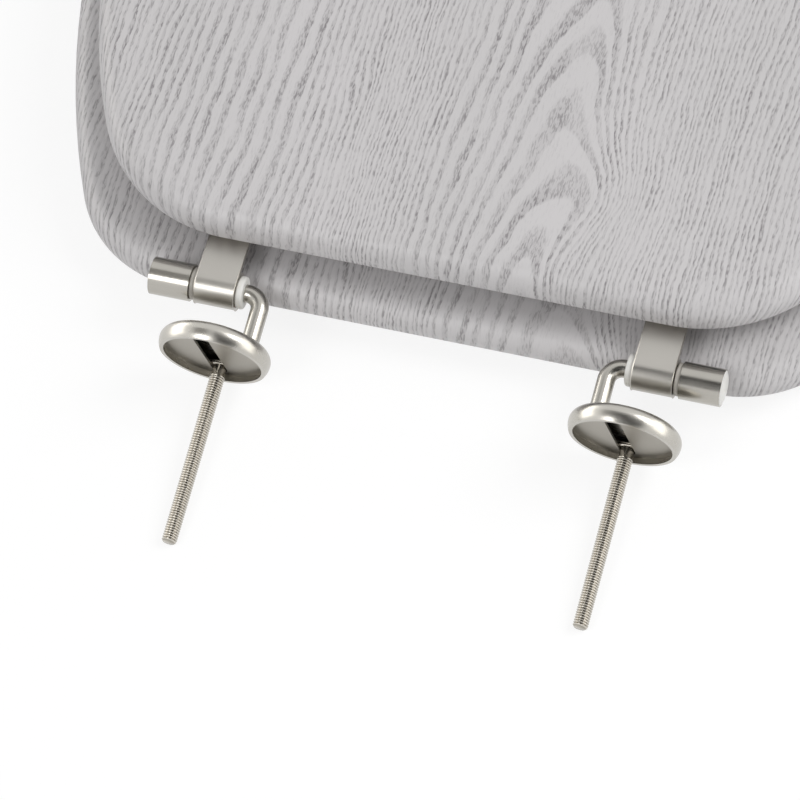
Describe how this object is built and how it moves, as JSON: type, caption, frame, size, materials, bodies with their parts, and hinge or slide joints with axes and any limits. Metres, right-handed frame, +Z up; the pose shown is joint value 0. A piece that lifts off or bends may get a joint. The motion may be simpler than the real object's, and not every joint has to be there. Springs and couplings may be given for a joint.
{
  "type": "toilet seat",
  "caption": "Toilet seat with a closed wood-effect lid on barrel hinges, with bent posts, cover discs and threaded fixing studs swung back",
  "frame": {"origin": "on the surface that the seat lies on, under the middle of the whole object", "axes": "+Z up, +X to the right when facing the hinges from the front (a seated person's left), -Y towards the seat's front, +Y towards the hinges and studs"},
  "size_m": [0.373, 0.5318, 0.0527],
  "materials": {
    "ash_foil": "pale grey ash-effect foil on fibreboard, satin",
    "satin_steel": "satin stainless steel sheet",
    "polished_steel": "polished stainless steel",
    "stud_steel": "stainless steel with a rolled thread",
    "spring_steel": "plain spring steel",
    "screw_steel": "zinc-plated steel",
    "nylon": "white moulded nylon",
    "bumper_plastic": "soft white moulded plastic"
  },
  "bodies": {
    "ring": {"seat_ring": "ash_foil", "ring_leaf_left": "satin_steel", "ring_leaf_right": "satin_steel", "ring_leaf_screws_left": "screw_steel", "ring_leaf_screws_right": "screw_steel", "ring_bush_left": "nylon", "ring_bush_right": "nylon", "end_cap_left": "nylon", "end_cap_right": "nylon", "ring_bumper_front_left": "bumper_plastic", "ring_bumper_front_right": "bumper_plastic", "ring_bumper_rear_left": "bumper_plastic", "ring_bumper_rear_right": "bumper_plastic", "ring_bumper_screws": "screw_steel"},
    "lid": {"lid": "ash_foil", "lid_leaf_left": "satin_steel", "lid_leaf_right": "satin_steel", "lid_leaf_screws_left": "screw_steel", "lid_leaf_screws_right": "screw_steel", "lid_bush_left": "nylon", "lid_bush_right": "nylon", "lid_bumper_left": "bumper_plastic", "lid_bumper_right": "bumper_plastic", "lid_bumper_screws": "screw_steel"},
    "post_left": {"hinge_post_left": "polished_steel", "post_clip_left": "spring_steel"},
    "cover_left": {"cover_disc_left": "polished_steel", "slot_plate_left": "satin_steel"},
    "stud_left": {"stud_left": "stud_steel"},
    "post_right": {"hinge_post_right": "polished_steel", "post_clip_right": "spring_steel"},
    "cover_right": {"cover_disc_right": "polished_steel", "slot_plate_right": "satin_steel"},
    "stud_right": {"stud_right": "stud_steel"}
  },
  "joints": [
    {"name": "lid_hinge", "type": "hinge", "parent": "ring", "child": "lid", "pos_m": [0, 0.16849, 0.0295], "axis": [-1, 0, 0], "range_deg": [0, 95]},
    {"name": "post_left_hinge", "type": "hinge", "parent": "ring", "child": "post_left", "pos_m": [-0.09, 0.16849, 0.0295], "axis": [-1, 0, 0], "range_deg": [0, 83.76]},
    {"name": "cover_left_swivel", "type": "hinge", "parent": "post_left", "child": "cover_left", "pos_m": [-0.0687, 0.19036, 0.02711], "axis": [0, 0.9941, -0.1087], "range_deg": [-180, 180]},
    {"name": "stud_left_slide", "type": "slide", "parent": "cover_left", "child": "stud_left", "axis": [0.1219, 0.1079, 0.9867], "range_m": [0, 0.03]},
    {"name": "post_right_hinge", "type": "hinge", "parent": "ring", "child": "post_right", "pos_m": [0.09, 0.16849, 0.0295], "axis": [-1, 0, 0], "range_deg": [0, 83.76]},
    {"name": "cover_right_swivel", "type": "hinge", "parent": "post_right", "child": "cover_right", "pos_m": [0.0687, 0.19036, 0.02711], "axis": [0, 0.9941, -0.1087], "range_deg": [-180, 180]},
    {"name": "stud_right_slide", "type": "slide", "parent": "cover_right", "child": "stud_right", "axis": [0.1219, 0.1079, 0.9867], "range_m": [0, 0.03]}
  ]
}
